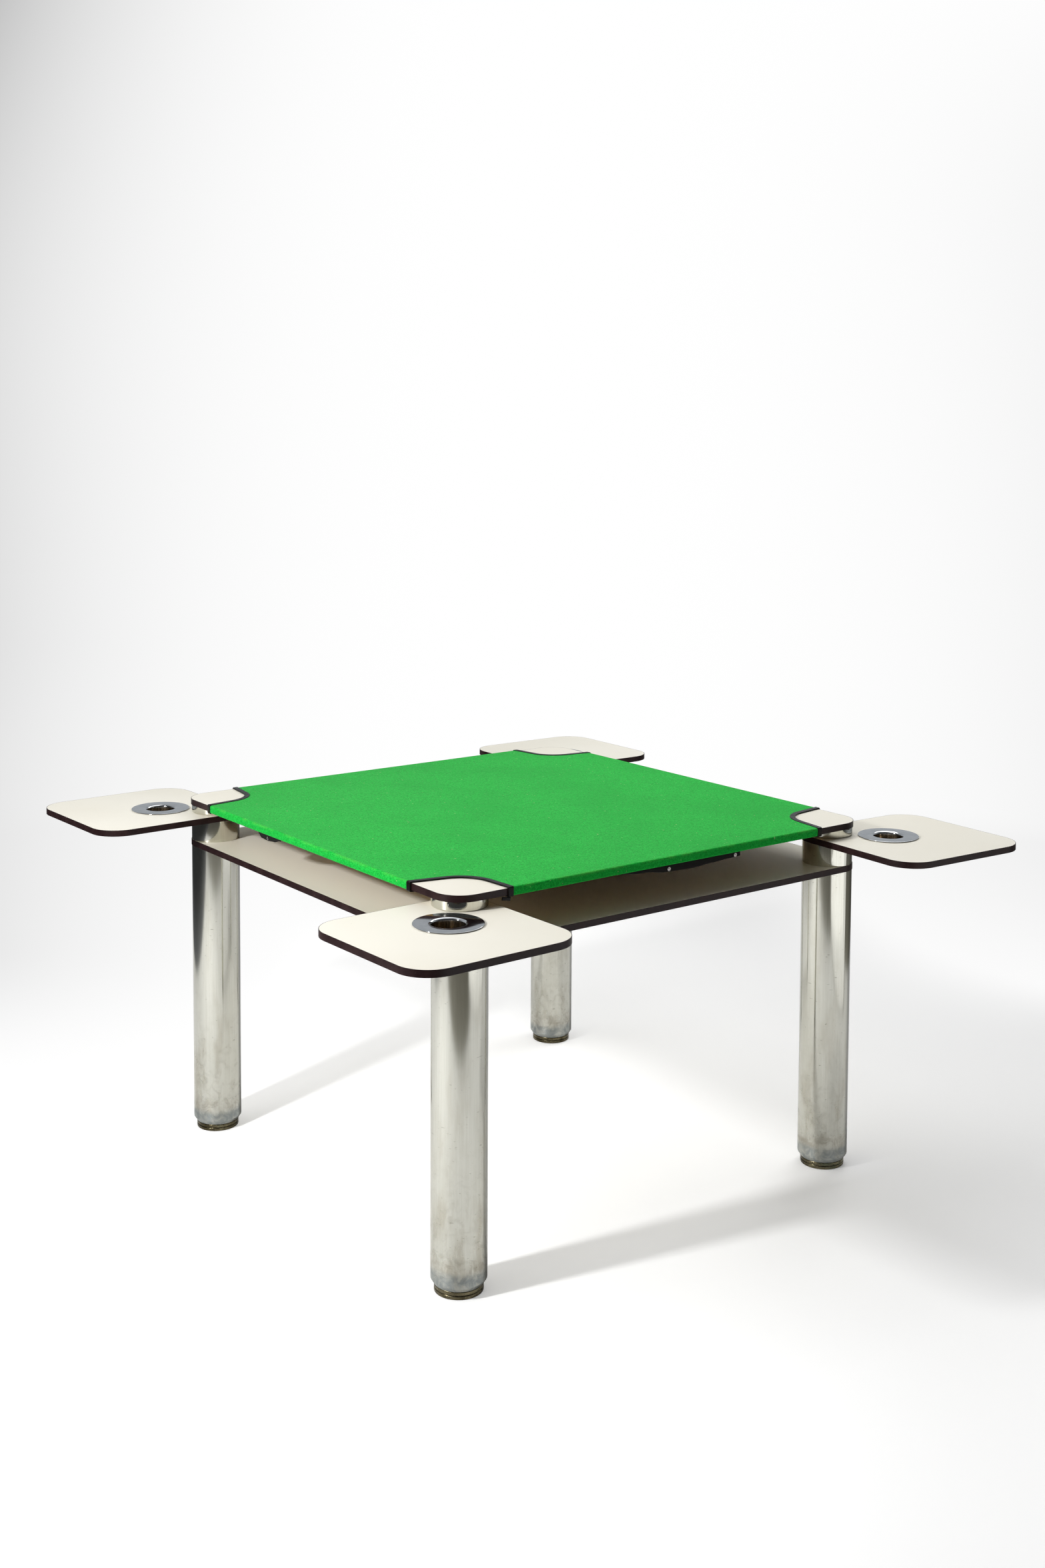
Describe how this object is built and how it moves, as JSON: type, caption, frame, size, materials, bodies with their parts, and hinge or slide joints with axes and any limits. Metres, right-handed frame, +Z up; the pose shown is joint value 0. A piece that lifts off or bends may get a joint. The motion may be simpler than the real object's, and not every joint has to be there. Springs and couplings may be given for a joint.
{
  "type": "games table",
  "caption": "Square games table with a removable green baize cover, a laminate shelf, polished tube legs on levelling feet, and corner trays with drop-in cups that swing out.",
  "frame": {"origin": "centre of the table on the floor, midway between the four legs", "axes": "+Z up; X and Y along the edges of the square top; the corner nearest the picture's viewer is at +X, -Y"},
  "size_m": [1.4306, 1.4295, 0.6932],
  "materials": {
    "baize": "woollen baize, matt",
    "binding": "black leathercloth tape, soft sheen",
    "strap": "black woven band",
    "stud_metal": "plated press studs",
    "laminate": "ivory laminate, satin",
    "board_core": "particle board",
    "edge_band": "brown-black edging, satin",
    "leg_steel": "polished stainless steel tube, lightly worn",
    "inner_steel": "plain zinc plate",
    "foot_metal": "yellow zinc plate",
    "bush": "turned",
    "cup_chrome": "chromed spun cup"
  },
  "bodies": {
    "table": {"top_core": "board_core", "top_laminate_upper": "laminate", "top_laminate_lower": "laminate", "top_edge_band": "edge_band", "shelf_core": "board_core", "shelf_laminate_upper": "laminate", "shelf_laminate_lower": "laminate", "shelf_edge_band": "edge_band", "baize_cover": "baize", "corner_bindings": "binding", "hem_straps": "strap", "press_studs": "stud_metal", "leg_plugs": "inner_steel", "leg_heads": "inner_steel", "spacer_caps": "inner_steel", "tie_bolts": "inner_steel", "bolt_washers": "inner_steel", "disc_screws": "inner_steel", "leg_tube_front_left": "leg_steel", "spacer_tube_front_left": "leg_steel", "pivot_disc_front_left": "leg_steel", "leg_tube_front_right": "leg_steel", "spacer_tube_front_right": "leg_steel", "pivot_disc_front_right": "leg_steel", "leg_tube_back_right": "leg_steel", "spacer_tube_back_right": "leg_steel", "pivot_disc_back_right": "leg_steel", "leg_tube_back_left": "leg_steel", "spacer_tube_back_left": "leg_steel", "pivot_disc_back_left": "leg_steel"},
    "tray_front_left": {"tray_core_front_left": "board_core", "tray_laminates_front_left": "laminate", "tray_edge_band_front_left": "edge_band", "tray_bush_front_left": "bush"},
    "cup_front_left": {"cup_front_left": "cup_chrome"},
    "foot_front_left": {"foot_front_left": "foot_metal"},
    "tray_front_right": {"tray_core_front_right": "board_core", "tray_laminates_front_right": "laminate", "tray_edge_band_front_right": "edge_band", "tray_bush_front_right": "bush"},
    "cup_front_right": {"cup_front_right": "cup_chrome"},
    "foot_front_right": {"foot_front_right": "foot_metal"},
    "tray_back_right": {"tray_core_back_right": "board_core", "tray_laminates_back_right": "laminate", "tray_edge_band_back_right": "edge_band", "tray_bush_back_right": "bush"},
    "cup_back_right": {"cup_back_right": "cup_chrome"},
    "foot_back_right": {"foot_back_right": "foot_metal"},
    "tray_back_left": {"tray_core_back_left": "board_core", "tray_laminates_back_left": "laminate", "tray_edge_band_back_left": "edge_band", "tray_bush_back_left": "bush"},
    "cup_back_left": {"cup_back_left": "cup_chrome"},
    "foot_back_left": {"foot_back_left": "foot_metal"}
  },
  "joints": [
    {"name": "tray_swing_front_left", "type": "hinge", "parent": "table", "child": "tray_front_left", "pos_m": [-0.44, -0.44, 0.6554], "axis": [0, 0, 1], "range_deg": [-181.6, 0]},
    {"name": "cup_lift_front_left", "type": "slide", "parent": "tray_front_left", "child": "cup_front_left", "axis": [0, 0, 1], "range_m": [0, 0.045]},
    {"name": "foot_screw_front_left", "type": "slide", "parent": "table", "child": "foot_front_left", "axis": [0, 0, -1], "range_m": [0, 0.012]},
    {"name": "tray_swing_front_right", "type": "hinge", "parent": "table", "child": "tray_front_right", "pos_m": [0.44, -0.44, 0.6554], "axis": [0, 0, 1], "range_deg": [-181.2, 0]},
    {"name": "cup_lift_front_right", "type": "slide", "parent": "tray_front_right", "child": "cup_front_right", "axis": [0, 0, 1], "range_m": [0, 0.045]},
    {"name": "foot_screw_front_right", "type": "slide", "parent": "table", "child": "foot_front_right", "axis": [0, 0, -1], "range_m": [0, 0.012]},
    {"name": "tray_swing_back_right", "type": "hinge", "parent": "table", "child": "tray_back_right", "pos_m": [0.44, 0.44, 0.6554], "axis": [0, 0, 1], "range_deg": [-177, 0]},
    {"name": "cup_lift_back_right", "type": "slide", "parent": "tray_back_right", "child": "cup_back_right", "axis": [0, 0, 1], "range_m": [0, 0.045]},
    {"name": "foot_screw_back_right", "type": "slide", "parent": "table", "child": "foot_back_right", "axis": [0, 0, -1], "range_m": [0, 0.012]},
    {"name": "tray_swing_back_left", "type": "hinge", "parent": "table", "child": "tray_back_left", "pos_m": [-0.44, 0.44, 0.6554], "axis": [0, 0, 1], "range_deg": [-179, 0]},
    {"name": "cup_lift_back_left", "type": "slide", "parent": "tray_back_left", "child": "cup_back_left", "axis": [0, 0, 1], "range_m": [0, 0.045]},
    {"name": "foot_screw_back_left", "type": "slide", "parent": "table", "child": "foot_back_left", "axis": [0, 0, -1], "range_m": [0, 0.012]}
  ]
}
